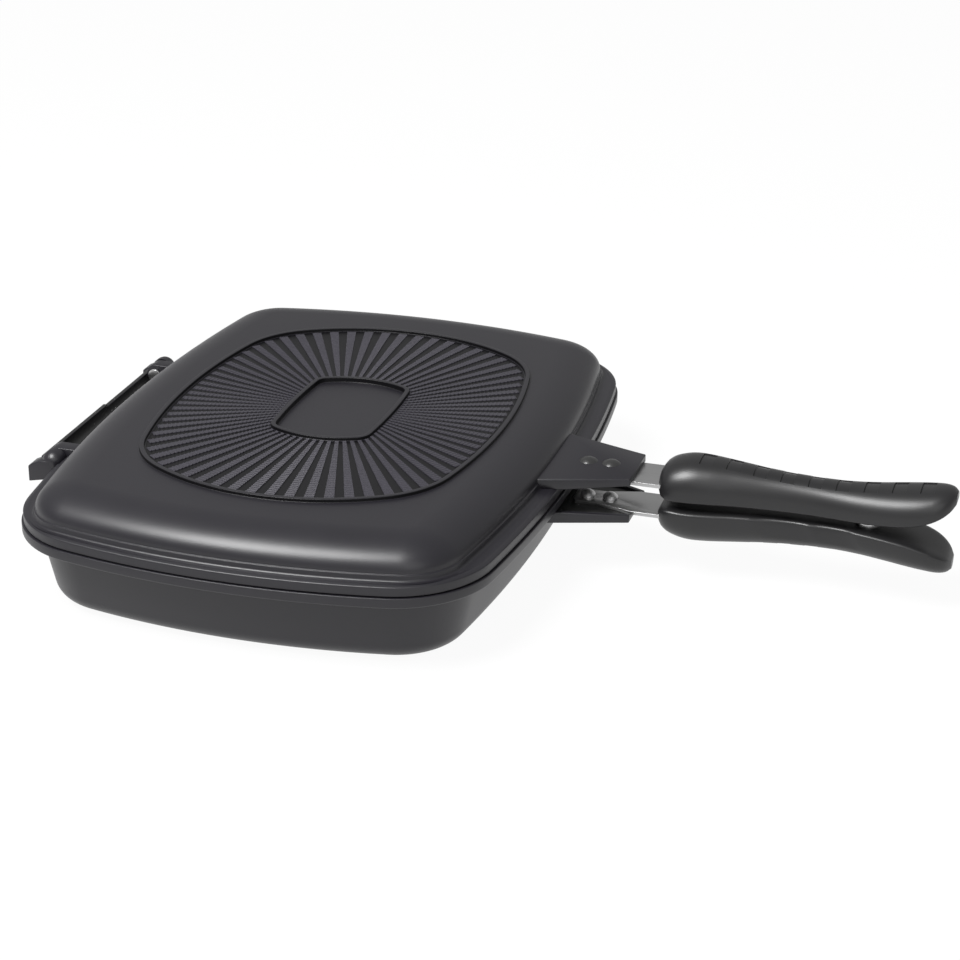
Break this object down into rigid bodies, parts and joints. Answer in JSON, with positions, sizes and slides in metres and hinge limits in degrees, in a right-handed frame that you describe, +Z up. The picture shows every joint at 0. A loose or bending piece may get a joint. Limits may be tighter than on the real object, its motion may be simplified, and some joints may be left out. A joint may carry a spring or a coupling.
{
  "type": "double sided flip pan",
  "caption": "Shallow rounded-rectangular frying pan with a hinged, matching upper pan, a drip trough behind and a split two-part handle.",
  "frame": {"origin": "centre of the lower pan's flat centre pad, on the face that it rests on", "axes": "+X from the hinge towards the handles, +Y towards the far side in the picture, +Z up out of the lower pan"},
  "size_m": [0.4364, 0.3124, 0.0627],
  "materials": {
    "cast_body": "cast aluminium under a satin charcoal non-stick coating",
    "seal": "matte black silicone",
    "hinge_pins": "turned",
    "handle_strips": "satin, with bright edges",
    "bright_rivets": "bright",
    "dark_rivets": "black coated domed heads",
    "grips": "moulded phenolic, satin black",
    "screws": "zinc plated",
    "magnets": "nickel plated"
  },
  "bodies": {
    "base": {"lower_pan": "cast_body", "rim_seal": "seal", "left_hinge_pin": "hinge_pins", "right_hinge_pin": "hinge_pins", "lower_strip": "handle_strips", "lower_rivets": "bright_rivets", "lower_rivet_washers": "bright_rivets", "lower_grip": "grips", "lower_grip_screws": "screws", "lower_magnet": "magnets"},
    "lid": {"upper_pan": "cast_body", "upper_strip": "handle_strips", "upper_rivets": "dark_rivets", "upper_rivet_washers": "bright_rivets", "upper_grip": "grips", "upper_grip_screws": "screws", "upper_magnet": "magnets"}
  },
  "joints": [
    {"name": "lid_hinge", "type": "hinge", "parent": "base", "child": "lid", "pos_m": [-0.1218, 0, 0.0439], "axis": [0, -1, 0], "range_deg": [0, 105]}
  ]
}
